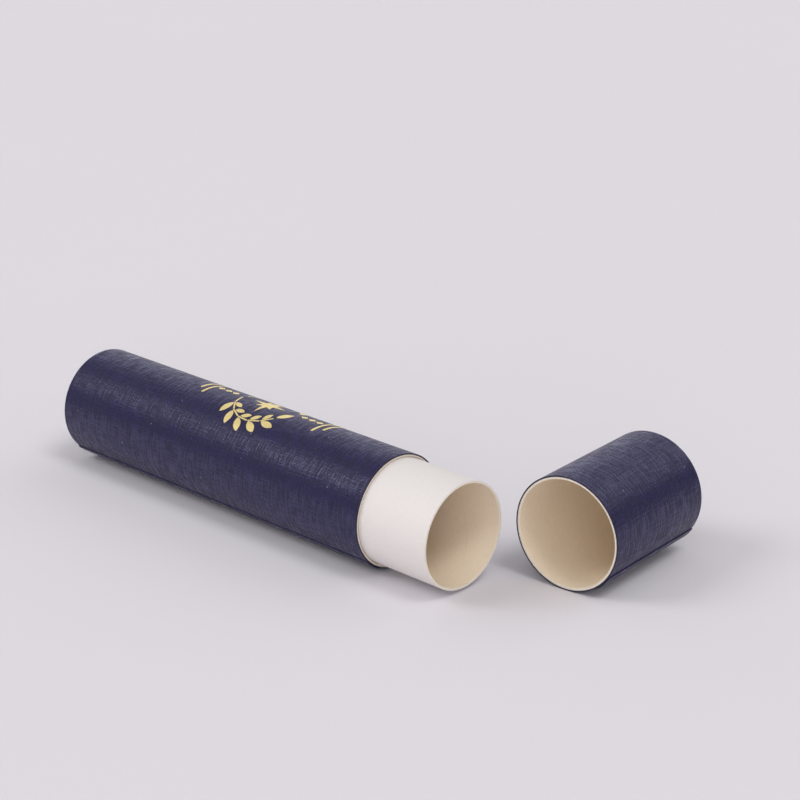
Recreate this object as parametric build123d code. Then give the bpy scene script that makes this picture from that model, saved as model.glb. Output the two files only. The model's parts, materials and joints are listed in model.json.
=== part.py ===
from build123d import *
import os
from math import acos, cos, degrees, radians, sin, sqrt

# Two-piece paper tube box: a long base with a glued-in neck, and a cap that slides over the neck.
# The box lies open on its side: the base along +X with its mouth towards +X, the cap beside the
# mouth at its own angle. Millimetres, +Z up. The tubes are drawn standing on their closed ends.

# Driving dimensions
tube_radius = 20.0            # outside of the covering paper, base and cap alike
cover_thickness = 0.4         # linen-embossed covering paper with its paste
board_thickness = 0.85        # wall of the wound board tube that base and cap are cut from
neck_clearance = 0.12         # radial, between the board tube's bore and the neck
neck_paper_thickness = 0.2    # white paper wound onto the neck
neck_board_thickness = 0.65   # wall of the neck's own board tube
base_length = 153.5           # closed end to mouth, without the neck
neck_reveal = 29.5            # how far the neck stands out of the base
cap_length = 52.0
disc_thickness = 1.5          # board disc that closes each far end, under the board tube
cut_edge_bevel = 0.15         # soft inner edge of a cut board tube
fold_bevel = 0.3              # covering paper where it folds over a closed end

# The covering paper's lap seam and its turn-in over the closed ends
lap_width = 9.0               # along the circumference
base_lap_edge = -45.0         # degrees from the underside to the raw edge of the lap
cap_lap_edge = 57.0
turn_in = 7.0                 # width of the paper folded in over the closed end
end_paper_inset = 0.8         # the end paper stops this far inside the tube's outside
end_paper_slope = 1.2         # width over which the end paper dips inside the turned-in ring

# Where the cap lies, from the neck's mouth
cap_side_gap = 3.3            # along the base's axis, neck mouth to the cap's nearest side
cap_forward = 4.1             # across the base's axis, base's side to the middle of the cap's mouth
cap_turn = 95.16              # degrees from the base's axis to the cap's, mouth to closed end

# Gold foil ornament: a wreath of two leafy sprigs round a star, with lozenges and rules along
# the axis on both sides of it
foil_thickness = 0.05
foil_from_mouth = 65.5        # star's centre
foil_angle = 170.0            # degrees from the underside, round the tube
star_radius = 7.6
star_waist_radius = 2.8
star_points = 8               # long and short ones in turn
short_point_share = 0.64
sprig_radius = 12.6           # the curve that both sprigs follow
sprig_start = 28.0            # degrees from the wreath's foot to the first leaves
sprig_end = 143.0
leaf_pairs = 5
leaf_length = 6.2
leaf_width = 2.8
inner_leaf_share = 0.7        # a leaf on the curve's inner side, as a share of an outer one
leaf_spread = 40.0            # degrees between a leaf and its stem
leaf_offset = 0.85            # stem's middle to a leaf's foot
stem_width = 0.6
stem_gap = 0.3                # between two pieces of stem
lozenge_length = 3.4
lozenge_width = 2.6
lozenge_pitch = 3.7
lozenge_offset = 17.6         # first lozenge from the star's centre
lozenges = 3
rule_width = 1.0
rule_length = 14.0
rule_step = 5.0               # each rule is shorter than the one before it
rule_pitch = 3.2
rule_offset = 28.0            # first rule from the star's centre
rules = 2

# Sizes that follow
board_radius = tube_radius - cover_thickness
bore_radius = board_radius - board_thickness
neck_radius = bore_radius - neck_clearance
neck_board_radius = neck_radius - neck_paper_thickness
neck_bore_radius = neck_board_radius - neck_board_thickness
shell_floor = 2 * cover_thickness
inner_floor = shell_floor + disc_thickness
lap_angle = degrees(lap_width / tube_radius)


def polar(radius, angle):
    """A point of the section at an angle in degrees."""
    return (radius * cos(radians(angle)), radius * sin(radians(angle)))


def lapped_outline(edge, sense):
    """Outside of the covering paper: round, with one sheet lying over the other at the lap.

    The raw edge is a step at the angle edge. The lap runs from there in the direction of sense, and
    the upper sheet comes down to the round part along a straight line that is tangent to it.
    """
    lap_radius = tube_radius + cover_thickness
    ramp_angle = degrees(acos(tube_radius / lap_radius))
    crest = edge + sense * (lap_angle - ramp_angle)
    foot = edge + sense * lap_angle
    outline = [
        Line(polar(tube_radius, edge), polar(lap_radius, edge)),
        CenterArc((0, 0), lap_radius, edge, crest - edge),
        Line(polar(lap_radius, crest), polar(tube_radius, foot)),
        CenterArc((0, 0), tube_radius, foot, sense * (360 - lap_angle)),
    ]
    return make_face(outline)


def covering(length, edge, sense):
    """One sheet: lapped round the tube, cut flush at the mouth, turned in over the closed end."""
    blank = Pos(0, 0, cover_thickness) * extrude(lapped_outline(edge, sense), length - cover_thickness)
    folded_edges = blank.edges().group_by(Axis.Z)[0]
    blank = chamfer(folded_edges, fold_bevel)
    tube_space = Pos(0, 0, shell_floor) * extrude(Circle(board_radius), length)
    hole = extrude(Circle(tube_radius - turn_in), shell_floor)
    return blank - tube_space - hole


def soften_mouth(tube):
    """Takes the sharp inner edge off a tube's mouth."""
    inner_edge = tube.edges().group_by(Axis.Z)[-1].sort_by(SortBy.LENGTH)[0]
    return chamfer(inner_edge, cut_edge_bevel)


def board_tube(length):
    """Wound board tube, standing on its end disc, with the mouth's inner edge a little soft."""
    ring = Circle(board_radius) - Circle(bore_radius)
    tube = Pos(0, 0, inner_floor) * extrude(ring, length - inner_floor)
    return soften_mouth(tube)


def end_disc():
    """Board disc at the closed end, as wide as the board tube that stands on it."""
    return Pos(0, 0, shell_floor) * extrude(Circle(board_radius), disc_thickness)


def end_paper():
    """Disc of covering paper: flat on the turned-in ring, dipping to the board disc inside it."""
    rim = tube_radius - end_paper_inset
    shelf = tube_radius - turn_in
    dip = shelf - end_paper_slope
    profile = Polyline(
        (0, cover_thickness),
        (dip, cover_thickness),
        (shelf, 0),
        (rim, 0),
        (rim, cover_thickness),
        (shelf, cover_thickness),
        (dip, 2 * cover_thickness),
        (0, 2 * cover_thickness),
        (0, cover_thickness),
    )
    return revolve(Plane.XZ * make_face(profile), Axis.Z)


def neck_layer(outer, inner):
    """One layer of the neck, standing on the base's disc and reaching out of the mouth."""
    top = base_length + neck_reveal
    return Pos(0, 0, inner_floor) * extrude(Circle(outer) - Circle(inner), top - inner_floor)


def foil_patch(shape, across, up):
    """A flat shape laid on the tube as thin foil: across is round the tube, up is along its axis."""
    angle = foil_angle + degrees(across / tube_radius)
    seat = Plane(
        origin=(*polar(tube_radius, angle), base_length - foil_from_mouth + up),
        x_dir=(*polar(1, angle + 90), 0),
        z_dir=(*polar(1, angle), 0),
    )
    widest = max(leaf_offset + leaf_length, star_radius, rule_length / 2)
    depth = tube_radius - sqrt(tube_radius**2 - widest**2) + cover_thickness
    block = extrude(seat * shape, depth, both=True)
    shell = extrude(Circle(tube_radius + foil_thickness) - Circle(tube_radius), base_length)
    return block & shell


def leaf(share):
    """A pointed leaf from two arcs, its foot at the origin and its tip along X."""
    length = leaf_length * share
    bulge = leaf_width / 2 * share
    sides = [
        ThreePointArc((0, 0), (length / 2, bulge), (length, 0)),
        ThreePointArc((length, 0), (length / 2, -bulge), (0, 0)),
    ]
    return make_face(sides)


def star():
    """A star with straight sides, one long point along X."""
    corners = []
    for index in range(2 * star_points):
        point = star_radius if index % 4 == 0 else star_radius * short_point_share
        corners.append(polar(star_waist_radius if index % 2 else point, index * 180 / star_points))
    return make_face(Polyline(*corners, close=True))


def sprig(side):
    """Leaves in pairs, a leaf at the tip and pieces of stem, along one half of the curve.

    Side is 1 or -1. A heading is in degrees from across to up, and the outer leaves turn away from
    the curve's middle, against the side's own sense of turning.
    """
    patches = []
    step = (sprig_end - sprig_start) / leaf_pairs
    stem_length = sprig_radius * radians(step) - stem_gap
    for index in range(leaf_pairs + 1):
        turn = sprig_start + index * step
        across = side * sprig_radius * sin(radians(turn))
        up = -sprig_radius * cos(radians(turn))
        heading = turn if side > 0 else 180 - turn
        pair = ((-side * leaf_spread, 1), (side * leaf_spread, inner_leaf_share))
        for spread, share in ((0, 1),) if index == leaf_pairs else pair:
            shape = Rot(0, 0, heading + spread) * Pos(leaf_offset, 0, 0) * leaf(share)
            patches.append(foil_patch(shape, across, up))
        before = turn - step / 2
        stem = Rot(0, 0, before if side > 0 else 180 - before) * Rectangle(stem_length, stem_width)
        across = side * sprig_radius * sin(radians(before))
        patches.append(foil_patch(stem, across, -sprig_radius * cos(radians(before))))
    return patches


def tail(way):
    """Lozenges along the axis, then short lines across it, on one side of the wreath."""
    half_width = lozenge_width / 2
    half_length = lozenge_length / 2
    corners = [(half_width, 0), (0, half_length), (-half_width, 0), (0, -half_length)]
    lozenge = make_face(Polyline(*corners, close=True))
    patches = []
    for index in range(lozenges):
        patches.append(foil_patch(lozenge, 0, way * (lozenge_offset + index * lozenge_pitch)))
    for index in range(rules):
        rule = Rectangle(rule_length - index * rule_step, rule_width)
        patches.append(foil_patch(rule, 0, way * (rule_offset + index * rule_pitch)))
    return patches


def ornament():
    """All the foil, as separate thin solids."""
    patches = [foil_patch(star(), 0, 0)]
    for way in (1, -1):
        patches += sprig(way) + tail(way)
    return Compound([solid for patch in patches for solid in patch.solids()])


# Build the two halves, each standing on its closed end
base_sense = 1 if base_lap_edge < 0 else -1
cap_sense = 1 if cap_lap_edge < 0 else -1
base_parts = {
    "base_tube": board_tube(base_length),
    "base_wrap": covering(base_length, base_lap_edge, base_sense),
    "base_disc": end_disc(),
    "base_end_paper": end_paper(),
    "neck_tube": soften_mouth(neck_layer(neck_board_radius, neck_bore_radius)),
    "neck_paper": neck_layer(neck_radius, neck_board_radius),
    "gold_ornament": ornament(),
}
cap_parts = {
    "cap_tube": board_tube(cap_length),
    "cap_wrap": covering(cap_length, cap_lap_edge, cap_sense),
    "cap_disc": end_disc(),
    "cap_end_paper": end_paper(),
}

# Lay them down: the base's mouth at X 0, the cap's mouth beside the neck's
lie = Rot(0, 90, 0)
base_place = Pos(-base_length, 0, tube_radius) * lie
cap_mouth_x = neck_reveal + cap_side_gap + tube_radius * sin(radians(cap_turn))
cap_mouth_y = tube_radius + cap_forward
cap_end_x = cap_mouth_x + cap_length * cos(radians(cap_turn))
cap_end_y = cap_mouth_y + cap_length * sin(radians(cap_turn))
cap_place = Pos(cap_end_x, cap_end_y, tube_radius) * Rot(0, 0, cap_turn + 180) * lie

placed = {name: base_place * shape for name, shape in base_parts.items()}
placed.update({name: cap_place * shape for name, shape in cap_parts.items()})

# The origin is the middle of the box's footprint, on the surface that it lies on
boxes = [shape.bounding_box() for shape in placed.values()]
middle_x = (min(box.min.X for box in boxes) + max(box.max.X for box in boxes)) / 2
middle_y = (min(box.min.Y for box in boxes) + max(box.max.Y for box in boxes)) / 2
lowest = min(box.min.Z for box in boxes)
to_origin = Pos(-middle_x, -middle_y, -lowest)

os.makedirs("parts", exist_ok=True)
for name, shape in placed.items():
    export_step(to_origin * shape, f"parts/{name}.step")
print("origin moved by", to_origin.position)
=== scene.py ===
import json
import math
from random import Random

import bmesh
import bpy
from bpy.props import FloatProperty, FloatVectorProperty, IntProperty, PointerProperty
from mathutils import Matrix, Vector


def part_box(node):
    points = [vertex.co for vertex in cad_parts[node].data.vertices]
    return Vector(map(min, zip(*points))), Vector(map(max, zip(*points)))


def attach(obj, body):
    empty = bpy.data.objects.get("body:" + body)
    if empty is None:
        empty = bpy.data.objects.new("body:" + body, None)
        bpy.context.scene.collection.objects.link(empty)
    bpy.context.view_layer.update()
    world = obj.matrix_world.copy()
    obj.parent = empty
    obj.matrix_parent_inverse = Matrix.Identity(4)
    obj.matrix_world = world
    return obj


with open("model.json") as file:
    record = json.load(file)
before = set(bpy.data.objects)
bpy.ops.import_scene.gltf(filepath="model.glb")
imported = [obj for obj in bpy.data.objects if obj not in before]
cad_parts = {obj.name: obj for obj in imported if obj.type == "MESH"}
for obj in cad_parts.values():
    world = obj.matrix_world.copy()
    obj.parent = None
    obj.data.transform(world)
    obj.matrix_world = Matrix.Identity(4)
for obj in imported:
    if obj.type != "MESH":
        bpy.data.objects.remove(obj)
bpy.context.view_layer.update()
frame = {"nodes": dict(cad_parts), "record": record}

bl_info = {
    "name": "Paper tube box",
    "version": (1, 0, 0),
    "blender": (4, 5, 0),
    "location": "3D View > Sidebar > Tube Box",
    "description": "Dresses a two-piece paper tube box in linen paper, board and foil, and lights it",
    "category": "Object",
}

BODY = "root"
MM = 0.001                    # a millimetre in scene units
UP = Vector((0.0, 0.0, 1.0))
SQUARE_ON = 0.9               # a face that looks along the axis by more than this is a cut or an end


def from_hex(code):
    """Linear red, green and blue of an sRGB hex colour."""
    channels = [int(code[place:place + 2], 16) / 255 for place in (0, 2, 4)]
    return [c / 12.92 if c <= 0.04045 else ((c + 0.055) / 1.055) ** 2.4 for c in channels]


def mount_named(name):
    """A mount of the frame's record."""
    return next(mount for mount in frame["record"]["mounts"] if mount["name"] == name)


def half_height(node):
    """Half the height of a node's box in millimetres: the radius of a tube that lies flat."""
    low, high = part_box(node)
    return (high.z - low.z) / 2 / MM


class Tube:
    """One of the two tubes, read from the frame: its axis, its mouth and its sizes in millimetres."""

    def __init__(self, half, bore, end, lip=0.0):
        """The bore's mouth stands lip beyond the covering's mouth; end is the flat closed end."""
        mount = mount_named(bore)
        self.outward = Vector(mount["axis"]).normalized()
        self.side = self.outward.cross(UP)
        self.radius = half_height(f"{half}_wrap")
        self.board_radius = half_height(f"{half}_tube")
        to_mouth = mount["dims"]["length_mm"] / 2 - lip
        self.mouth = Vector(mount["pos_m"]) + self.outward * to_mouth * MM
        self.bore_radius = mount["dims"]["r_mm"]
        self.depth = mount["dims"]["length_mm"] - lip
        self.lip = lip
        self.length = (self.mouth - Vector(mount_named(end)["pos_m"])).dot(self.outward) / MM


neck = mount_named("neck")["dims"]
NECK_RADIUS = neck["r_mm"]
BASE = Tube("base", "neck_bore", "base_foot", neck["length_mm"])
CAP = Tube("cap", "cap_bore", "cap_top")
BOARD_BORE = CAP.bore_radius      # both board tubes have the same bore
NECK_GAP_SHADE = NECK_RADIUS + 0.36    # radius of a stronger dark line in the base's cut ring: painted shade of the gap beside the neck


class LinenSettings(bpy.types.PropertyGroup):
    """The covering paper: dyed through, with a linen pattern pressed into it."""

    thread_pitch: FloatProperty(
        name="Thread pitch", description="Spacing of the pressed threads, mm", default=0.86, min=0.2)
    slub_length: FloatProperty(
        name="Slub length", description="How far a thread stays thick or thin, mm", default=4.5, min=0.5)
    streak_width: FloatProperty(
        name="Streak width", description="Across a coarse thread, mm", default=0.8, min=0.2)
    streak_length: FloatProperty(
        name="Streak length", description="Along a coarse thread, mm", default=8.0, min=0.5)
    relief: FloatProperty(
        name="Relief", description="Depth of the pressed pattern, mm", default=0.06, min=0.0)
    thread_color: FloatVectorProperty(
        name="Threads", description="Raised threads, rubbed a little pale", subtype="COLOR",
        default=from_hex("2C284F"))
    groove_color: FloatVectorProperty(
        name="Grooves", description="Ground between the threads", subtype="COLOR",
        default=from_hex("1A1738"))
    cut_color: FloatVectorProperty(
        name="Cut edge", description="The sheet's own cut edge at the mouth", subtype="COLOR",
        default=from_hex("1C1930"))
    rub_color: FloatVectorProperty(
        name="Rubbed folds", description="Where a fold has lost some colour", subtype="COLOR",
        default=from_hex("77748C"))
    speck_color: FloatVectorProperty(
        name="Specks", description="Specks of board dust caught in the pattern", subtype="COLOR",
        default=from_hex("8F8D9C"))


class NeckPaperSettings(bpy.types.PropertyGroup):
    """The smooth white paper round the neck."""

    color: FloatVectorProperty(
        name="White", description="Clean paper", subtype="COLOR", default=from_hex("E0DAD8"))
    shade_color: FloatVectorProperty(
        name="Mottle", description="Thicker spots of the sheet", subtype="COLOR",
        default=from_hex("DCD5D2"))
    flock_size: FloatProperty(
        name="Flock size", description="Clouds of fibre in the sheet, mm", default=1.6, min=0.2)


class BoardSettings(bpy.types.PropertyGroup):
    """The wound board of the tubes, their liner and the discs."""

    liner_color: FloatVectorProperty(
        name="Liner", description="Inside of the tubes", subtype="COLOR", default=from_hex("F0E0CA"))
    fleck_color: FloatVectorProperty(
        name="Flecks", description="Darker fibres in the liner", subtype="COLOR",
        default=from_hex("DFCAAE"))
    disc_color: FloatVectorProperty(
        name="Disc", description="Board disc at the closed end", subtype="COLOR",
        default=from_hex("E9DABF"))
    cut_color: FloatVectorProperty(
        name="Cut edge", description="Freshly cut board", subtype="COLOR", default=from_hex("E1D8CB"))
    dragged_color: FloatVectorProperty(
        name="Dragged dye", description="Blue dust that the knife drags over the cut's outer rim",
        subtype="COLOR", default=from_hex("37324F"))
    # painted shade, with a little glue, in the corner where the wall meets the disc
    corner_shade_and_glue_color: FloatVectorProperty(
        name="Corner", description="Painted shade and glue where the wall meets the disc", subtype="COLOR",
        default=from_hex("C7B499"))
    # glue lines between the plies, and also the painted shade of the gap beside the neck on the base's
    # cut ring
    glue_and_gap_shade_color: FloatVectorProperty(
        name="Glue lines", description="Between the plies on a cut edge", subtype="COLOR",
        default=from_hex("B59C7E"))
    ply_thickness: FloatProperty(
        name="Ply", description="Thickness of one ply, mm", default=0.28, min=0.05)
    ply_width: FloatProperty(
        name="Ply width", description="Width of the wound strip, mm", default=46.0, min=5.0)
    winding_angle: FloatProperty(
        name="Winding angle", description="Between the strip's edge and the tube's axis",
        subtype="ANGLE", default=math.radians(68))


class FoilSettings(bpy.types.PropertyGroup):
    """The hot-stamped gold foil."""

    color: FloatVectorProperty(
        name="Gold", description="Foil that took well", subtype="COLOR", default=from_hex("F2DC96"))
    thin_color: FloatVectorProperty(
        name="Thin foil", description="Where the paper's grooves show through", subtype="COLOR",
        default=from_hex("A98D56"))


class FibreSettings(bpy.types.PropertyGroup):
    """Loose fibres and torn flakes on the cut board edges."""

    fibres: IntProperty(
        name="Fibres", description="Loose fibres on each cut edge", default=150, min=0)
    fibre_length: FloatProperty(
        name="Fibre length", description="Longest fibre, mm", default=0.42, min=0.05)
    fibre_width: FloatProperty(
        name="Fibre width", description="At its foot, mm", default=0.05, min=0.01)
    flakes: IntProperty(
        name="Flakes", description="Torn flakes on each cut edge", default=26, min=0)
    flake_size: FloatProperty(
        name="Flake size", description="Widest flake, mm", default=0.75, min=0.05)
    torn_flakes: IntProperty(
        name="Torn flakes", description="Extra flakes where the base's ring is torn", default=40, min=0)
    torn_turn: FloatProperty(
        name="Torn at", description="From the top, round the near side", subtype="ANGLE",
        default=math.radians(140))


class StudioSettings(bpy.types.PropertyGroup):
    """Floor, lights and camera."""

    floor_color: FloatVectorProperty(
        name="Floor", description="Seamless paper under the box", subtype="COLOR",
        default=from_hex("DCD8DE"))
    floor_size: FloatProperty(
        name="Floor size", description="Across the floor", unit="LENGTH", default=8.0, min=1.0)
    wall_strength: FloatProperty(
        name="Wall light", description="What the white walls throw back, at the floor's level",
        default=1.15, min=0.0)
    ceiling_strength: FloatProperty(
        name="Ceiling light", description="What the ceiling throws back, and the walls high up",
        default=0.33, min=0.0)
    room_shade: FloatProperty(
        name="Room in gloss", description="How bright the unlit part of the room looks in a gloss",
        default=0.0, min=0.0)
    wall_shade: FloatProperty(
        name="Wall in gloss", description="How bright the wall behind the box looks in a gloss",
        default=1.05, min=0.0)
    low_strength: FloatProperty(
        name="Low light", description="Low beside the camera, which reaches deep into both tubes",
        default=0.26, min=0.0)
    high_strength: FloatProperty(
        name="High light", description="Wide softbox overhead, a little to the front",
        default=0.24, min=0.0)
    strip_strength: FloatProperty(
        name="Strip light", description="Light that the round side mirrors, most of all near the mouth",
        default=0.84, min=0.0)
    right_strength: FloatProperty(
        name="Right light", default=0.78, min=0.0,
        description="Smallest softbox, high on the mouth's side, which throws the shadows")
    back_strength: FloatProperty(
        name="Back light", description="Softbox behind the cap", default=0.38, min=0.0)
    front_strength: FloatProperty(
        name="Front light", description="Softbox beside the camera, which lights both mouths",
        default=0.28, min=0.0)
    camera_azimuth: FloatProperty(
        name="Azimuth", description="From the front view, towards the mouth's side", subtype="ANGLE",
        default=math.radians(43.69))
    camera_elevation: FloatProperty(
        name="Elevation", description="Above the horizon", subtype="ANGLE",
        default=math.radians(20.45))
    camera_distance: FloatProperty(
        name="Distance", description="From the point on the floor that the camera looks at",
        unit="LENGTH", default=0.88595)
    camera_target: FloatVectorProperty(
        name="Looks at", description="Point on the floor", subtype="XYZ", unit="LENGTH",
        default=(-0.06938, 0.08707, 0.0))
    lens: FloatProperty(name="Lens", description="Focal length, mm", default=98.38, min=10.0)


class TubeBoxSettings(bpy.types.PropertyGroup):
    """Everything that a user would change."""

    linen: PointerProperty(type=LinenSettings)
    neck_paper: PointerProperty(type=NeckPaperSettings)
    board: PointerProperty(type=BoardSettings)
    foil: PointerProperty(type=FoilSettings)
    fibre: PointerProperty(type=FibreSettings)
    studio: PointerProperty(type=StudioSettings)


def add(tree, kind, inputs=None, **settings):
    """Adds one node and returns its outputs. An input is a plain value or another node's output."""
    node = tree.nodes.new(kind)
    for name, value in settings.items():
        setattr(node, name, value)
    for socket, value in (inputs or {}).items():
        if isinstance(value, bpy.types.NodeSocket):
            tree.links.new(value, node.inputs[socket])
        else:
            node.inputs[socket].default_value = value
    return node.outputs


def new_material(name):
    """A material with an empty node tree, and its tree."""
    material = bpy.data.materials.new(name)
    material.use_nodes = True
    material.node_tree.nodes.clear()
    return material, material.node_tree


def opaque(color):
    """A colour with full alpha, as colour sockets take it."""
    return (*color, 1.0)


def tube_surface(tree, tube):
    """Where a point lies on a tube, in millimetres.

    Along is measured from the covering's mouth into the tube, and out from the axis. Section is the
    place across the axis, and sheet the place on the unrolled wall: round from the top, then along.
    Facing is 1 on a cut that faces out of the mouth, -1 on the closed end and 0 on the round wall.
    """
    place = add(tree, "ShaderNodeTexCoord")["Object"]
    local = add(tree, "ShaderNodeVectorMath", {0: place, 1: tube.mouth}, operation="SUBTRACT")[0]
    local = add(tree, "ShaderNodeVectorMath", {0: local, "Scale": 1 / MM}, operation="SCALE")[0]
    along, side, up = [
        add(tree, "ShaderNodeVectorMath", {0: local, 1: way}, operation="DOT_PRODUCT")["Value"]
        for way in (-tube.outward, tube.side, UP)]
    turn = add(tree, "ShaderNodeMath", {0: side, 1: up}, operation="ARCTAN2")[0]
    around = add(tree, "ShaderNodeMath", {0: turn, 1: tube.radius}, operation="MULTIPLY")[0]
    section = add(tree, "ShaderNodeCombineXYZ", {"X": side, "Y": up})[0]
    out = add(tree, "ShaderNodeVectorMath", {0: section}, operation="LENGTH")["Value"]
    normal = add(tree, "ShaderNodeNewGeometry")["True Normal"]
    facing = add(tree, "ShaderNodeVectorMath", {0: normal, 1: tube.outward}, operation="DOT_PRODUCT")
    return {
        "along": along, "out": out, "facing": facing["Value"], "section": section,
        "sheet": add(tree, "ShaderNodeCombineXYZ", {"X": around, "Y": along})[0],
    }


def woven_relief(tree, sheet, linen):
    """Height from 0 to 1 of two crossing sets of threads, over and under, on a sheet in millimetres.

    The real threads lie about 0.66 mm apart: drawn a little coarser, so that they show at all.
    """
    drift_scale = 0.22                # per mm
    drift_reach = 2.5                 # how far the threads wander at most, in threads
    crossing, swing = 0.72, 0.28      # a thread's mean height, and what it rises and dips at a crossing
    row_step = 0.73                   # from one thread's noise to its neighbour's
    across_seed = 17.3                # keeps one set's noise apart from the other's
    thinnest = 0.1                    # of a full thread
    lengthwise = 0.36                 # the coarse threads' share that runs along the tube
    coarse = 0.6                      # the coarse threads' share of the whole relief

    drift = add(tree, "ShaderNodeTexNoise", {
        "Vector": sheet, "Scale": drift_scale, "Detail": 2.0})["Color"]
    drift = add(tree, "ShaderNodeVectorMath", {0: drift, "Scale": drift_reach}, operation="SCALE")[0]
    count = 1 / linen.thread_pitch
    counted = {0: sheet, 1: (count, count, 0.0), 2: drift}
    thread = add(tree, "ShaderNodeVectorMath", counted, operation="MULTIPLY_ADD")[0]
    number = add(tree, "ShaderNodeVectorMath", {0: thread}, operation="FLOOR")[0]
    phase = add(tree, "ShaderNodeVectorMath", {0: thread}, operation="FRACTION")[0]
    phase = add(tree, "ShaderNodeVectorMath", {0: phase, "Scale": math.pi}, operation="SCALE")[0]
    ridge = add(tree, "ShaderNodeVectorMath", {0: phase}, operation="SINE")[0]

    # each thread rises over the other set and dips under it in turn: the place along it plus its own
    # number, so that neighbours alternate
    along = add(tree, "ShaderNodeSeparateXYZ", {0: thread})
    crossed = add(tree, "ShaderNodeCombineXYZ", {"X": along["Y"], "Y": along["X"]})[0]
    step = add(tree, "ShaderNodeVectorMath", {0: crossed, 1: number}, operation="ADD")[0]
    quarter = (math.pi / 2, math.pi / 2, 0.0)
    step = add(tree, "ShaderNodeVectorMath", {0: step, 1: (math.pi,) * 3, 2: quarter},
               operation="MULTIPLY_ADD")[0]
    over = add(tree, "ShaderNodeVectorMath", {0: step}, operation="SINE")[0]
    over = add(tree, "ShaderNodeVectorMath", {
        0: over, 1: (swing, -swing, 0.0), 2: (crossing, crossing, 0.0)}, operation="MULTIPLY_ADD")[0]

    # slubs: each thread is thick and thin in turn, at its own places
    numbers = add(tree, "ShaderNodeSeparateXYZ", {0: number})
    strengths = []
    for own, other, seed in (("X", "Y", 0.0), ("Y", "X", across_seed)):
        length = add(tree, "ShaderNodeMath", {
            0: along[other], 1: linen.thread_pitch / linen.slub_length}, operation="MULTIPLY")[0]
        row = add(tree, "ShaderNodeMath", {0: numbers[own], 1: row_step}, operation="MULTIPLY")[0]
        place = add(tree, "ShaderNodeCombineXYZ", {"X": row, "Y": length, "Z": seed})[0]
        slub = add(tree, "ShaderNodeTexNoise", {"Vector": place, "Scale": 1.0, "Detail": 1.0})["Fac"]
        strengths.append(add(tree, "ShaderNodeMapRange", {
            "Value": slub, "From Min": 0.36, "From Max": 0.64, "To Min": thinnest, "To Max": 1.0})[0])
    strength = add(tree, "ShaderNodeCombineXYZ", {"X": strengths[0], "Y": strengths[1]})[0]

    relief = add(tree, "ShaderNodeVectorMath", {0: ridge, 1: over}, operation="MULTIPLY")[0]
    relief = add(tree, "ShaderNodeVectorMath", {0: relief, 1: strength}, operation="MULTIPLY")[0]
    both = add(tree, "ShaderNodeSeparateXYZ", {0: relief})
    weave = add(tree, "ShaderNodeMath", {0: both["X"], 1: both["Y"]}, operation="MAXIMUM")[0]

    # coarser threads here and there, mostly round the tube
    streaks = []
    long, thin = linen.streak_length, linen.streak_width
    for around, lengthways in ((long, thin), (thin, long)):
        drawn = add(tree, "ShaderNodeVectorMath", {0: sheet, 1: (1 / around, 1 / lengthways, 1.0)},
                    operation="MULTIPLY")[0]
        streak = add(tree, "ShaderNodeTexNoise", {"Vector": drawn, "Scale": 1.0, "Detail": 2.0})["Fac"]
        streaks.append(add(tree, "ShaderNodeMapRange", {
            "Value": streak, "From Min": 0.4, "From Max": 0.64})[0])
    streak = add(tree, "ShaderNodeMix", {0: lengthwise, 2: streaks[0], 3: streaks[1]})[0]
    height = add(tree, "ShaderNodeMix", {0: coarse, 2: weave, 3: streak})[0]
    return add(tree, "ShaderNodeMapRange", {"Value": height, "From Min": 0.2, "From Max": 0.72})[0]


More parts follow.
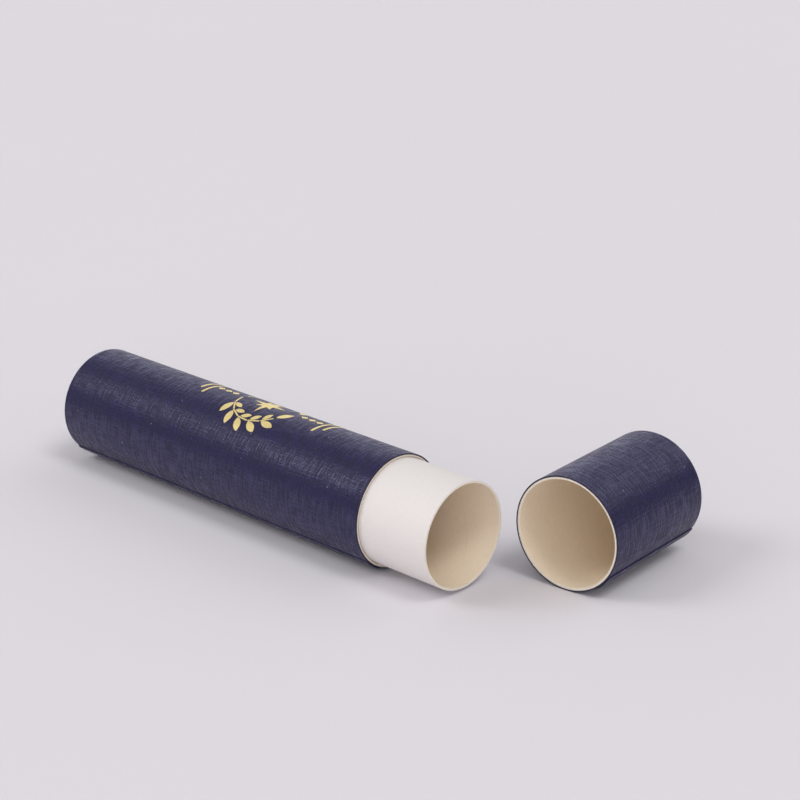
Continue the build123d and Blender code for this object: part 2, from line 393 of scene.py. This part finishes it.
def linen_paper(name, tube, linen):
    """Book-cloth paper: dyed through and calendered with a linen roll, then lightly coated.

    The eye gets a dry sheen that breaks up into short crossed threads, paler than their ground.
    """
    ground_roughness, thread_roughness, cut_roughness = 0.54, 0.25, 0.85
    cool_sheen = (0.86, 0.84, 1.0, 1.0)       # the coating's highlights stay bluish
    cloud_scale = 0.09                # per mm
    cloud_swing = 0.09                # of the step from groove to thread, either way
    fold_reach = 0.9                  # how far from the closed end the rubbing goes, mm
    rub_starts, rub_full = 0.8, 0.1   # from the outside, mm
    most_rubbed = 0.5                 # share of the rubbed colour
    speck_spacing = 25.0              # mm
    speck_radius = 0.1875             # mm

    material, tree = new_material(name)
    spot = tube_surface(tree, tube)
    flat = add(tree, "ShaderNodeMath", {0: spot["facing"]}, operation="ABSOLUTE")[0]
    flat = add(tree, "ShaderNodeMath", {0: flat, 1: SQUARE_ON}, operation="GREATER_THAN")[0]
    sheet = add(tree, "ShaderNodeMix", {0: flat, 4: spot["sheet"], 5: spot["section"]},
                data_type="VECTOR")[1]
    relief = woven_relief(tree, sheet, linen)

    # the dye took unevenly: soft clouds over the sheet
    cloud = add(tree, "ShaderNodeTexNoise", {
        "Vector": sheet, "Scale": cloud_scale, "Detail": 3.0})["Fac"]
    cloud = add(tree, "ShaderNodeMapRange", {
        "Value": cloud, "From Min": 0.3, "From Max": 0.7,
        "To Min": -cloud_swing, "To Max": cloud_swing})[0]
    tone = add(tree, "ShaderNodeMath", {0: relief, 1: cloud}, operation="ADD", use_clamp=True)[0]
    color = add(tree, "ShaderNodeMix", {
        0: tone, 6: opaque(linen.groove_color), 7: opaque(linen.thread_color)}, data_type="RGBA")[2]

    # the fold at the closed end is rubbed in places
    to_end = add(tree, "ShaderNodeMapRange", {
        "Value": spot["along"], "From Min": tube.length - fold_reach, "From Max": tube.length})[0]
    to_rim = add(tree, "ShaderNodeMapRange", {
        "Value": spot["out"], "From Min": tube.radius - rub_starts,
        "From Max": tube.radius - rub_full})[0]
    fold = add(tree, "ShaderNodeMath", {0: to_end, 1: to_rim}, operation="MULTIPLY")[0]
    patches = add(tree, "ShaderNodeTexNoise", {
        "Vector": spot["section"], "Scale": 0.5, "Detail": 4.0})["Fac"]
    patches = add(tree, "ShaderNodeMapRange", {
        "Value": patches, "From Min": 0.45, "From Max": 0.75, "To Max": most_rubbed})[0]
    rubbed = add(tree, "ShaderNodeMath", {0: fold, 1: patches}, operation="MULTIPLY")[0]
    color = add(tree, "ShaderNodeMix", {0: rubbed, 6: color, 7: opaque(linen.rub_color)},
                data_type="RGBA")[2]

    # sparse specks, and the bare cut edge at the mouth
    grit = add(tree, "ShaderNodeTexVoronoi", {"Vector": sheet, "Scale": 1 / speck_spacing},
               voronoi_dimensions="2D")
    speck = add(tree, "ShaderNodeMath", {0: grit["Distance"], 1: speck_radius / speck_spacing},
                operation="LESS_THAN")[0]
    color = add(tree, "ShaderNodeMix", {0: speck, 6: color, 7: opaque(linen.speck_color)},
                data_type="RGBA")[2]
    cut = add(tree, "ShaderNodeMath", {0: spot["facing"], 1: SQUARE_ON}, operation="GREATER_THAN")[0]
    color = add(tree, "ShaderNodeMix", {0: cut, 6: color, 7: opaque(linen.cut_color)},
                data_type="RGBA")[2]

    roughness = add(tree, "ShaderNodeMapRange", {
        "Value": relief, "To Min": ground_roughness, "To Max": thread_roughness})[0]
    roughness = add(tree, "ShaderNodeMix", {0: cut, 2: roughness, 3: cut_roughness})[0]
    bump = add(tree, "ShaderNodeBump", {
        "Height": relief, "Strength": 1.0, "Distance": linen.relief * MM})[0]
    surface = add(tree, "ShaderNodeBsdfPrincipled", {
        "Base Color": color, "Roughness": roughness, "Normal": bump, "IOR": 1.5,
        "Specular Tint": cool_sheen})["BSDF"]
    add(tree, "ShaderNodeOutputMaterial", {"Surface": surface})
    return material


def smooth_white_paper(name, tube, paper):
    """Uncoated woodfree paper, smoothed between steel rolls, wound onto the neck.

    The eye gets a matt warm white with very faint clouds of fibre.
    """
    material, tree = new_material(name)
    spot = tube_surface(tree, tube)
    flock = add(tree, "ShaderNodeTexNoise", {
        "Vector": spot["sheet"], "Scale": 1 / paper.flock_size, "Detail": 5.0, "Roughness": 0.6})["Fac"]
    tone = add(tree, "ShaderNodeMapRange", {"Value": flock, "From Min": 0.25, "From Max": 0.9})[0]
    color = add(tree, "ShaderNodeMix", {
        0: tone, 6: opaque(paper.color), 7: opaque(paper.shade_color)}, data_type="RGBA")[2]
    bump = add(tree, "ShaderNodeBump", {"Height": flock, "Strength": 0.3, "Distance": 0.01 * MM})[0]
    surface = add(tree, "ShaderNodeBsdfPrincipled", {
        "Base Color": color, "Roughness": 0.62, "Normal": bump, "IOR": 1.45})["BSDF"]
    add(tree, "ShaderNodeOutputMaterial", {"Surface": surface})
    return material


def wound_board(name, tube, board, gap_shade_radius=0.0):
    """Cream board wound in a spiral from glued strips, then sawn to length.

    The eye gets a warm liner with flecks and a slanting butt joint inside, and pale cut edges with
    the thin dark lines of the glue between the plies, the covering's blue dust along the outer rim,
    and, at the given radius, a stronger dark line that is painted shade of the gap beside the neck.
    """
    across_fibres, along_fibres = 2.6, 0.5    # flecks are some 0.5 mm wide and 2.5 mm long
    joint_width = 0.16                # mm
    joint_shade = 0.45                # share of the flecks' colour
    corner_reach = 0.9                # mm
    tear = 0.16                       # how far the saw pulls the plies out of round, mm
    ply_line = 0.05                   # half width of a faint glue line, mm
    gap_shade_width = (0.05, 0.13)          # full and faded half width of the painted gap shade line, mm
    dust_inside, dust_outside = 0.2, 0.04     # where the dust starts and is full, from the rim, mm
    tear_depth = 3.0                  # of the torn cut, against the liner's flecks

    material, tree = new_material(name)
    spot = tube_surface(tree, tube)

    # liner: fibres lie along the strip
    strip = add(tree, "ShaderNodeVectorRotate", {
        "Vector": spot["sheet"], "Angle": board.winding_angle}, rotation_type="Z_AXIS")[0]
    drawn = add(tree, "ShaderNodeVectorMath", {0: strip, 1: (across_fibres, along_fibres, 1.0)},
                operation="MULTIPLY")[0]
    fleck = add(tree, "ShaderNodeTexNoise", {"Vector": drawn, "Scale": 0.8, "Detail": 6.0})["Fac"]
    tone = add(tree, "ShaderNodeMapRange", {
        "Value": fleck, "From Min": 0.5, "From Max": 0.85, "To Max": 0.55})[0]
    liner = add(tree, "ShaderNodeMix", {
        0: tone, 6: opaque(board.liner_color), 7: opaque(board.fleck_color)}, data_type="RGBA")[2]
    place = add(tree, "ShaderNodeSeparateXYZ", {0: strip})["X"]
    place = add(tree, "ShaderNodeMath", {0: place, 1: board.ply_width}, operation="PINGPONG")[0]
    joint = add(tree, "ShaderNodeMapRange", {
        "Value": place, "From Min": 0.0, "From Max": joint_width, "To Min": 1.0, "To Max": 0.0})[0]
    faint = add(tree, "ShaderNodeMath", {0: joint, 1: joint_shade}, operation="MULTIPLY")[0]
    liner = add(tree, "ShaderNodeMix", {0: faint, 6: liner, 7: opaque(board.fleck_color)},
                data_type="RGBA")[2]

    # painted shade, with a little glue, where the wall meets the disc
    corner = add(tree, "ShaderNodeMapRange", {
        "Value": spot["along"], "From Min": tube.depth - corner_reach, "From Max": tube.depth,
        "To Max": 0.75})[0]
    liner = add(tree, "ShaderNodeMix", {0: corner, 6: liner, 7: opaque(board.corner_shade_and_glue_color)},
                data_type="RGBA")[2]

    # cut edge: plies as rings, a little torn
    rough = add(tree, "ShaderNodeTexNoise", {
        "Vector": spot["section"], "Scale": 1.7, "Detail": 5.0})["Fac"]
    wander = add(tree, "ShaderNodeMath", {0: rough, 1: tear, 2: spot["out"]},
                 operation="MULTIPLY_ADD")[0]
    ring = add(tree, "ShaderNodeMath", {0: wander, 1: board.ply_thickness / 2}, operation="PINGPONG")[0]
    ring = add(tree, "ShaderNodeMapRange", {
        "Value": ring, "From Min": 0.0, "From Max": ply_line, "To Min": 0.4, "To Max": 0.0})[0]
    # a stronger dark line at the given radius, in the glue lines' colour: painted shade of the gap
    # beside the neck
    gap_shade = add(tree, "ShaderNodeMath", {0: wander, 1: gap_shade_radius + tear / 2}, operation="SUBTRACT")[0]
    gap_shade = add(tree, "ShaderNodeMath", {0: gap_shade}, operation="ABSOLUTE")[0]
    gap_shade = add(tree, "ShaderNodeMapRange", {
        "Value": gap_shade, "From Min": gap_shade_width[0], "From Max": gap_shade_width[1],
        "To Min": 0.9, "To Max": 0.0})[0]
    ring = add(tree, "ShaderNodeMath", {0: ring, 1: gap_shade}, operation="MAXIMUM")[0]
    cut = add(tree, "ShaderNodeMix", {
        0: ring, 6: opaque(board.cut_color), 7: opaque(board.glue_and_gap_shade_color)}, data_type="RGBA")[2]
    dragged = add(tree, "ShaderNodeMapRange", {
        "Value": wander, "From Min": tube.board_radius - dust_inside,
        "From Max": tube.board_radius + dust_outside, "To Max": 0.85})[0]
    cut = add(tree, "ShaderNodeMix", {0: dragged, 6: cut, 7: opaque(board.dragged_color)},
              data_type="RGBA")[2]

    sawn = add(tree, "ShaderNodeMath", {0: spot["facing"], 1: 0.5}, operation="GREATER_THAN")[0]
    color = add(tree, "ShaderNodeMix", {0: sawn, 6: liner, 7: cut}, data_type="RGBA")[2]
    torn = add(tree, "ShaderNodeMath", {0: rough, 1: tear_depth}, operation="MULTIPLY")[0]
    height = add(tree, "ShaderNodeMix", {0: sawn, 2: fleck, 3: torn})[0]
    height = add(tree, "ShaderNodeMath", {0: height, 1: joint}, operation="SUBTRACT")[0]
    bump = add(tree, "ShaderNodeBump", {"Height": height, "Strength": 0.7, "Distance": 0.03 * MM})[0]
    surface = add(tree, "ShaderNodeBsdfPrincipled", {
        "Base Color": color, "Roughness": 0.8, "Normal": bump, "IOR": 1.45})["BSDF"]
    add(tree, "ShaderNodeOutputMaterial", {"Surface": surface})
    return material


def cut_board(name, tube, board):
    """Cream board, die-cut into discs and pressed flat, with painted shade and a trace of glue round its
    rim.

    The eye gets a flat matt face, a little duller than the liner round it, with soft clouds.
    """
    shade_and_glue_reach = 0.7                  # reach of the painted shade and glue from the wall, mm

    material, tree = new_material(name)
    spot = tube_surface(tree, tube)
    cloud = add(tree, "ShaderNodeTexNoise", {
        "Vector": spot["section"], "Scale": 0.7, "Detail": 5.0})["Fac"]
    tone = add(tree, "ShaderNodeMapRange", {
        "Value": cloud, "From Min": 0.4, "From Max": 0.75, "To Max": 0.5})[0]
    color = add(tree, "ShaderNodeMix", {
        0: tone, 6: opaque(board.disc_color), 7: opaque(board.fleck_color)}, data_type="RGBA")[2]
    # painted shade, with a trace of glue, round the rim where the disc meets the wall
    rim = add(tree, "ShaderNodeMapRange", {
        "Value": spot["out"], "From Min": BOARD_BORE - shade_and_glue_reach, "From Max": BOARD_BORE,
        "To Max": 0.75})[0]
    color = add(tree, "ShaderNodeMix", {0: rim, 6: color, 7: opaque(board.corner_shade_and_glue_color)},
                data_type="RGBA")[2]
    bump = add(tree, "ShaderNodeBump", {"Height": cloud, "Strength": 0.4, "Distance": 0.03 * MM})[0]
    surface = add(tree, "ShaderNodeBsdfPrincipled", {
        "Base Color": color, "Roughness": 0.8, "Normal": bump, "IOR": 1.45})["BSDF"]
    add(tree, "ShaderNodeOutputMaterial", {"Surface": surface})
    return material


def stamped_foil(name, tube, foil, linen):
    """Matt gold foil, aluminium flake in a tinted lacquer, hot-stamped onto the linen paper.

    The eye gets a pale gold with a dull shine, broken up by the threads and thin in the grooves.
    """
    flake_share = 0.35                # how much of the lacquer's surface is metal
    whole_roughness, worn_roughness = 0.42, 0.56
    wear_scale = 1.4                  # per mm

    material, tree = new_material(name)
    spot = tube_surface(tree, tube)
    relief = woven_relief(tree, spot["sheet"], linen)
    wear = add(tree, "ShaderNodeTexNoise", {
        "Vector": spot["sheet"], "Scale": wear_scale, "Detail": 4.0})["Fac"]
    wear = add(tree, "ShaderNodeMapRange", {"Value": wear, "From Min": 0.52, "From Max": 0.72})[0]
    groove = add(tree, "ShaderNodeMapRange", {
        "Value": relief, "From Min": 0.0, "From Max": 0.4, "To Min": 1.0, "To Max": 0.0})[0]
    thin = add(tree, "ShaderNodeMath", {0: wear, 1: groove}, operation="MULTIPLY")[0]
    color = add(tree, "ShaderNodeMix", {
        0: thin, 6: opaque(foil.color), 7: opaque(foil.thin_color)}, data_type="RGBA")[2]
    roughness = add(tree, "ShaderNodeMapRange", {
        "Value": wear, "To Min": whole_roughness, "To Max": worn_roughness})[0]
    bump = add(tree, "ShaderNodeBump", {
        "Height": relief, "Strength": 0.5, "Distance": linen.relief * MM})[0]
    surface = add(tree, "ShaderNodeBsdfPrincipled", {
        "Base Color": color, "Metallic": flake_share, "Roughness": roughness, "Normal": bump,
        "IOR": 1.5})["BSDF"]
    add(tree, "ShaderNodeOutputMaterial", {"Surface": surface})
    return material


def torn_board(name, board):
    """Loose fibre of the board's own pulp, torn out by the saw: pale, matt and dry."""
    material, tree = new_material(name)
    place = add(tree, "ShaderNodeTexCoord")["Object"]
    clouds = 0.9 / MM                 # per metre
    cloud = add(tree, "ShaderNodeTexNoise", {"Vector": place, "Scale": clouds, "Detail": 2.0})["Fac"]
    color = add(tree, "ShaderNodeMix", {
        0: cloud, 6: opaque(board.cut_color), 7: opaque(board.liner_color)}, data_type="RGBA")[2]
    surface = add(tree, "ShaderNodeBsdfPrincipled", {
        "Base Color": color, "Roughness": 0.9, "IOR": 1.45})["BSDF"]
    add(tree, "ShaderNodeOutputMaterial", {"Surface": surface})
    return material


def seamless_paper(name, studio):
    """Heavy matt background paper, pale and cool, with no pattern that shows."""
    unevenness = 0.015                # of its brightness, either way
    material, tree = new_material(name)
    place = add(tree, "ShaderNodeTexCoord")["Object"]
    grain = add(tree, "ShaderNodeTexNoise", {"Vector": place, "Scale": 3.0, "Detail": 2.0})["Fac"]
    tone = add(tree, "ShaderNodeMapRange", {
        "Value": grain, "To Min": 1 - unevenness, "To Max": 1 + unevenness})[0]
    color = add(tree, "ShaderNodeVectorMath", {0: studio.floor_color, "Scale": tone},
                operation="SCALE")[0]
    surface = add(tree, "ShaderNodeBsdfPrincipled", {
        "Base Color": color, "Roughness": 0.95, "IOR": 1.3})["BSDF"]
    add(tree, "ShaderNodeOutputMaterial", {"Surface": surface})
    return material


def dress(node, material):
    """Gives a node of the frame one material."""
    mesh = frame["nodes"][node].data
    mesh.materials.clear()
    mesh.materials.append(material)


def on_ring(tube, turn, out, stand):
    """A point near a tube's mouth: turn from the top, out from the axis, stand out of the mouth, mm."""
    radial = tube.side * math.sin(turn) + UP * math.cos(turn)
    return tube.mouth + radial * out * MM + tube.outward * stand * MM


def new_piece(name, builder, material):
    """Makes an object from a finished bmesh, riding on the box."""
    mesh = bpy.data.meshes.new(name)
    builder.to_mesh(mesh)
    builder.free()
    mesh.materials.append(material)
    piece = bpy.data.objects.new(name, mesh)
    bpy.context.scene.collection.objects.link(piece)
    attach(piece, BODY)


def add_fibre(builder, foot, way, bend, length, width):
    """A three-sided fibre that tapers to its tip and bends halfway."""
    sides = 3
    knee = 0.55                       # of the length
    taper = (1.0, 0.75, 0.2)          # of the width, at the foot, the knee and the tip
    across = way.orthogonal().normalized()
    joints = [foot, foot + way * length * knee, foot + way * length + bend * length * 0.5]
    rings = []
    for joint, share in zip(joints, taper):
        ring = []
        for corner in range(sides):
            spoke = Matrix.Rotation(corner * math.tau / sides, 3, way) @ across
            ring.append(builder.verts.new(joint + spoke * width * share / 2))
        rings.append(ring)
    for low, high in zip(rings, rings[1:]):
        for corner in range(sides):
            after = (corner + 1) % sides
            builder.faces.new((low[corner], low[after], high[after], high[corner]))
    builder.faces.new(rings[-1])
    builder.faces.new(reversed(rings[0]))


def add_flake(builder, centre, outward, size, thickness, rng):
    """A thin torn flake: an uneven outline, tilted, closed top and bottom."""
    corners = 7
    steepest = 0.35                   # the lean's largest part, against 1 out of the mouth
    narrowest = 0.45                  # of the full radius
    across = outward.orthogonal().normalized()
    lean = Vector([rng.uniform(-1, 1) for _ in range(3)]) * steepest
    normal = (outward + lean).normalized()
    top, bottom = [], []
    for corner in range(corners):
        spoke = Matrix.Rotation(corner * math.tau / corners, 3, normal) @ across
        edge = centre + spoke * size / 2 * rng.uniform(narrowest, 1.0)
        top.append(builder.verts.new(edge + normal * thickness))
        bottom.append(builder.verts.new(edge))
    builder.faces.new(top)
    builder.faces.new(reversed(bottom))
    for corner in range(corners):
        after = (corner + 1) % corners
        builder.faces.new((bottom[corner], bottom[after], top[after], top[corner]))


def fray_edge(name, tube, ring, torn, material, fibre, seed):
    """Fibres and flakes on a cut ring, given by its two radii and how far it stands out of the mouth.

    Torn is the number of flakes that crowd low on the near side, where the saw ran out.
    """
    tilt_spread = 0.7                 # of a fibre's way, against 1 out of the mouth
    upright = 0.15                    # a fibre that stands less than this is lifted off the cut
    most_bent = 0.6                   # the bend's largest part
    shortest, smallest = 0.25, 0.3    # of the longest fibre and the widest flake
    torn_spread = 0.13                # of the flakes round the torn place, radians
    margin = 0.3                      # of its size, between a flake's middle and the ring's edges
    flake_thickness = 0.04            # mm
    inner, outer, stand = ring
    rng = Random(seed)
    builder = bmesh.new()
    for _ in range(fibre.fibres):
        turn = rng.uniform(0, math.tau)
        foot = on_ring(tube, turn, rng.uniform(inner, outer), stand)
        tilt = Vector([rng.gauss(0, tilt_spread) for _ in range(3)])
        way = (tube.outward + tilt).normalized()
        if way.dot(tube.outward) < upright:
            way = (way + tube.outward).normalized()
        bend = Vector([rng.uniform(-1, 1) for _ in range(3)]) * most_bent
        length = fibre.fibre_length * rng.uniform(shortest, 1.0) * MM
        add_fibre(builder, foot, way, bend, length, fibre.fibre_width * MM)
    for number in range(fibre.flakes + torn):
        anywhere = number < fibre.flakes
        turn = rng.uniform(0, math.tau) if anywhere else rng.gauss(fibre.torn_turn, torn_spread)
        size = fibre.flake_size * rng.uniform(smallest, 1.0)
        middle = rng.uniform(inner + size * margin, outer - size * margin)
        centre = on_ring(tube, turn, min(max(middle, inner), outer), stand)
        add_flake(builder, centre, tube.outward, size * MM, flake_thickness * MM, rng)
    new_piece(name, builder, material)


class TUBEBOX_OT_cover_tubes(bpy.types.Operator):
    """Covers both tubes and their closed ends in linen paper"""

    bl_idname = "tubebox.cover_tubes"
    bl_label = "Cover the tubes"

    def execute(self, context):
        linen = context.scene.tube_box.linen
        for tube, half in ((BASE, "base"), (CAP, "cap")):
            material = linen_paper(f"linen_embossed_paper_{half}", tube, linen)
            dress(f"{half}_wrap", material)
            dress(f"{half}_end_paper", material)
        return {"FINISHED"}


class TUBEBOX_OT_wind_board(bpy.types.Operator):
    """Makes the tubes, the neck and the end discs of wound board"""

    bl_idname = "tubebox.wind_board"
    bl_label = "Wind the board"

    def execute(self, context):
        board = context.scene.tube_box.board
        # the base's board gets a dark line of painted shade beside the neck
        base_board = wound_board("spiral_wound_board_base", BASE, board, NECK_GAP_SHADE)
        cap_board = wound_board("spiral_wound_board_cap", CAP, board)
        dress("base_tube", base_board)
        dress("neck_tube", base_board)
        dress("cap_tube", cap_board)
        for tube, half in ((BASE, "base"), (CAP, "cap")):
            dress(f"{half}_disc", cut_board(f"die_cut_board_{half}", tube, board))
        return {"FINISHED"}


class TUBEBOX_OT_paper_neck(bpy.types.Operator):
    """Winds smooth white paper round the neck"""

    bl_idname = "tubebox.paper_neck"
    bl_label = "Paper the neck"

    def execute(self, context):
        paper = context.scene.tube_box.neck_paper
        dress("neck_paper", smooth_white_paper("smooth_white_paper", BASE, paper))
        return {"FINISHED"}


class TUBEBOX_OT_stamp_foil(bpy.types.Operator):
    """Stamps the ornament in gold foil"""

    bl_idname = "tubebox.stamp_foil"
    bl_label = "Stamp the foil"

    def execute(self, context):
        settings = context.scene.tube_box
        foil = stamped_foil("hot_stamped_matt_gold_foil", BASE, settings.foil, settings.linen)
        dress("gold_ornament", foil)
        return {"FINISHED"}


class TUBEBOX_OT_fray_edges(bpy.types.Operator):
    """Adds loose fibres and torn flakes to the cut board edges"""

    bl_idname = "tubebox.fray_edges"
    bl_label = "Fray the cut edges"

    def execute(self, context):
        settings = context.scene.tube_box
        fibre = settings.fibre
        material = torn_board("torn_board_fibre", settings.board)
        beside_neck, beside_bore = 0.2, 0.15    # mm that stay free of fibres
        base_ring = (NECK_RADIUS + beside_neck, BASE.board_radius, 0.0)
        neck_ring = (BASE.bore_radius + beside_bore, NECK_RADIUS, BASE.lip)
        cap_ring = (CAP.bore_radius + beside_bore, CAP.board_radius, 0.0)
        # the last number of each is its random seed
        fray_edge("base_edge_fibres", BASE, base_ring, fibre.torn_flakes, material, fibre, 3)
        fray_edge("neck_edge_fibres", BASE, neck_ring, 0, material, fibre, 5)
        fray_edge("cap_edge_fibres", CAP, cap_ring, 0, material, fibre, 8)
        return {"FINISHED"}


# each lamp's name, its strength's name, its spread in degrees and where it shines from
LAMPS = (
    ("low_softbox", "low_strength", 24, (0.64, -0.74, 0.2)),
    ("high_softbox", "high_strength", 50, (0.25, -0.4, 0.88)),
    ("strip_light", "strip_strength", 28, (-0.5, -0.56, 0.66)),
    ("right_softbox", "right_strength", 22, (0.484, -0.027, 0.875)),
    ("back_softbox", "back_strength", 40, (0.2, 0.75, 0.62)),
    ("front_softbox", "front_strength", 46, (0.52, -0.74, 0.42)),
)


def sun(name, strength, spread, direction):
    """A soft light with no falloff, which shines from a direction."""
    light = bpy.data.lights.new(name, "SUN")
    light.energy = strength
    light.angle = math.radians(spread)
    lamp = bpy.data.objects.new(name, light)
    lamp.rotation_mode = "QUATERNION"
    lamp.rotation_quaternion = Vector(direction).to_track_quat("Z", "Y")
    bpy.context.scene.collection.objects.link(lamp)


def light_room(studio):
    """The world: light from white walls and a ceiling, and the floor's own colour where it is seen.

    A gloss shows a dark room instead, with one lit wall behind the box.
    """
    ceiling_height = 0.6              # on the unit sky, where the wall's light has become the ceiling's
    wall_side = (-0.69, 0.72, 0.0)    # towards the lit wall
    wall_starts, wall_full = 0.55, 0.82       # about the cosine of the angle to that direction
    wall_tint = (0.93, 0.92, 1.07, 1.0)       # a cool white

    world = bpy.data.worlds.new("white_room")
    bpy.context.scene.world = world
    world.use_nodes = True
    tree = world.node_tree
    tree.nodes.clear()
    path = add(tree, "ShaderNodeLightPath")
    way = add(tree, "ShaderNodeTexCoord")["Generated"]
    height = add(tree, "ShaderNodeSeparateXYZ", {0: way})["Z"]
    bounce = add(tree, "ShaderNodeMapRange", {
        "Value": height, "From Min": 0.0, "From Max": ceiling_height,
        "To Min": studio.wall_strength, "To Max": studio.ceiling_strength})[0]
    wall = add(tree, "ShaderNodeVectorMath", {0: way, 1: wall_side}, operation="DOT_PRODUCT")["Value"]
    wall = add(tree, "ShaderNodeMapRange", {
        "Value": wall, "From Min": wall_starts, "From Max": wall_full,
        "To Min": studio.room_shade, "To Max": studio.wall_shade})[0]
    room = add(tree, "ShaderNodeBackground", {"Color": (1, 1, 1, 1), "Strength": bounce})[0]
    gloss = add(tree, "ShaderNodeBackground", {"Color": wall_tint, "Strength": wall})[0]
    seen = add(tree, "ShaderNodeBackground", {
        "Color": opaque(studio.floor_color), "Strength": 1.0})[0]
    mirrored = add(tree, "ShaderNodeMath", {0: path["Is Glossy Ray"], 1: path["Is Transmission Ray"]},
                   operation="MAXIMUM")[0]
    light = add(tree, "ShaderNodeMixShader", {0: mirrored, 1: room, 2: gloss})[0]
    light = add(tree, "ShaderNodeMixShader", {0: path["Is Camera Ray"], 1: light, 2: seen})[0]
    add(tree, "ShaderNodeOutputWorld", {"Surface": light})


def lay_floor(studio):
    """A large flat sheet under the box."""
    half = studio.floor_size / 2
    builder = bmesh.new()
    quadrants = ((-1, -1), (1, -1), (1, 1), (-1, 1))
    builder.faces.new([builder.verts.new((x * half, y * half, 0)) for x, y in quadrants])
    mesh = bpy.data.meshes.new("floor_sheet")
    builder.to_mesh(mesh)
    builder.free()
    mesh.materials.append(seamless_paper("seamless_background_paper", studio))
    floor = bpy.data.objects.new("floor_sheet", mesh)
    bpy.context.scene.collection.objects.link(floor)


def place_camera(studio):
    """Looks at a point on the floor from the set azimuth, elevation and distance."""
    level = math.cos(studio.camera_elevation)
    back = Vector((
        math.sin(studio.camera_azimuth) * level,
        -math.cos(studio.camera_azimuth) * level,
        math.sin(studio.camera_elevation),
    ))
    data = bpy.data.cameras.new("camera")
    data.lens = studio.lens
    camera = bpy.data.objects.new("camera", data)
    camera.location = Vector(studio.camera_target) + back * studio.camera_distance
    camera.rotation_mode = "QUATERNION"
    camera.rotation_quaternion = back.to_track_quat("Z", "Y")
    bpy.context.scene.collection.objects.link(camera)
    bpy.context.scene.camera = camera


class TUBEBOX_OT_set_studio(bpy.types.Operator):
    """Lays the floor, hangs the lights and places the camera"""

    bl_idname = "tubebox.set_studio"
    bl_label = "Set the studio"

    def execute(self, context):
        studio = context.scene.tube_box.studio
        context.scene.view_settings.view_transform = "Standard"
        lay_floor(studio)
        light_room(studio)
        for name, strength, spread, direction in LAMPS:
            sun(name, getattr(studio, strength), spread, direction)
        place_camera(studio)
        return {"FINISHED"}


class TUBEBOX_PT_panel(bpy.types.Panel):
    """Lists the steps and their sizes and colours"""

    bl_idname = "TUBEBOX_PT_panel"
    bl_label = "Paper tube box"
    bl_space_type = "VIEW_3D"
    bl_region_type = "UI"
    bl_category = "Tube Box"

    def draw(self, context):
        settings = context.scene.tube_box
        for operator, group in STEPS:
            box = self.layout.box()
            box.operator(operator.bl_idname)
            for name in getattr(settings, group).bl_rna.properties.keys():
                if name not in ("rna_type", "name"):
                    box.prop(getattr(settings, group), name)


# each step with the settings that belong to it, in the order in which they run
STEPS = (
    (TUBEBOX_OT_cover_tubes, "linen"),
    (TUBEBOX_OT_wind_board, "board"),
    (TUBEBOX_OT_paper_neck, "neck_paper"),
    (TUBEBOX_OT_stamp_foil, "foil"),
    (TUBEBOX_OT_fray_edges, "fibre"),
    (TUBEBOX_OT_set_studio, "studio"),
)
SETTINGS = (
    LinenSettings, NeckPaperSettings, BoardSettings, FoilSettings, FibreSettings, StudioSettings,
    TubeBoxSettings,
)
CLASSES = (*SETTINGS, *(operator for operator, _ in STEPS), TUBEBOX_PT_panel)


def register():
    """Registers the classes and hangs the settings on the scene."""
    for cls in CLASSES:
        bpy.utils.register_class(cls)
    bpy.types.Scene.tube_box = PointerProperty(type=TubeBoxSettings)


def unregister():
    """Takes the settings and the classes away again."""
    del bpy.types.Scene.tube_box
    for cls in reversed(CLASSES):
        bpy.utils.unregister_class(cls)


def main():
    """Runs the steps in order."""
    register()
    for operator, _ in STEPS:
        group, name = operator.bl_idname.split(".")
        getattr(getattr(bpy.ops, group), name)()


if __name__ == "__main__":
    main()
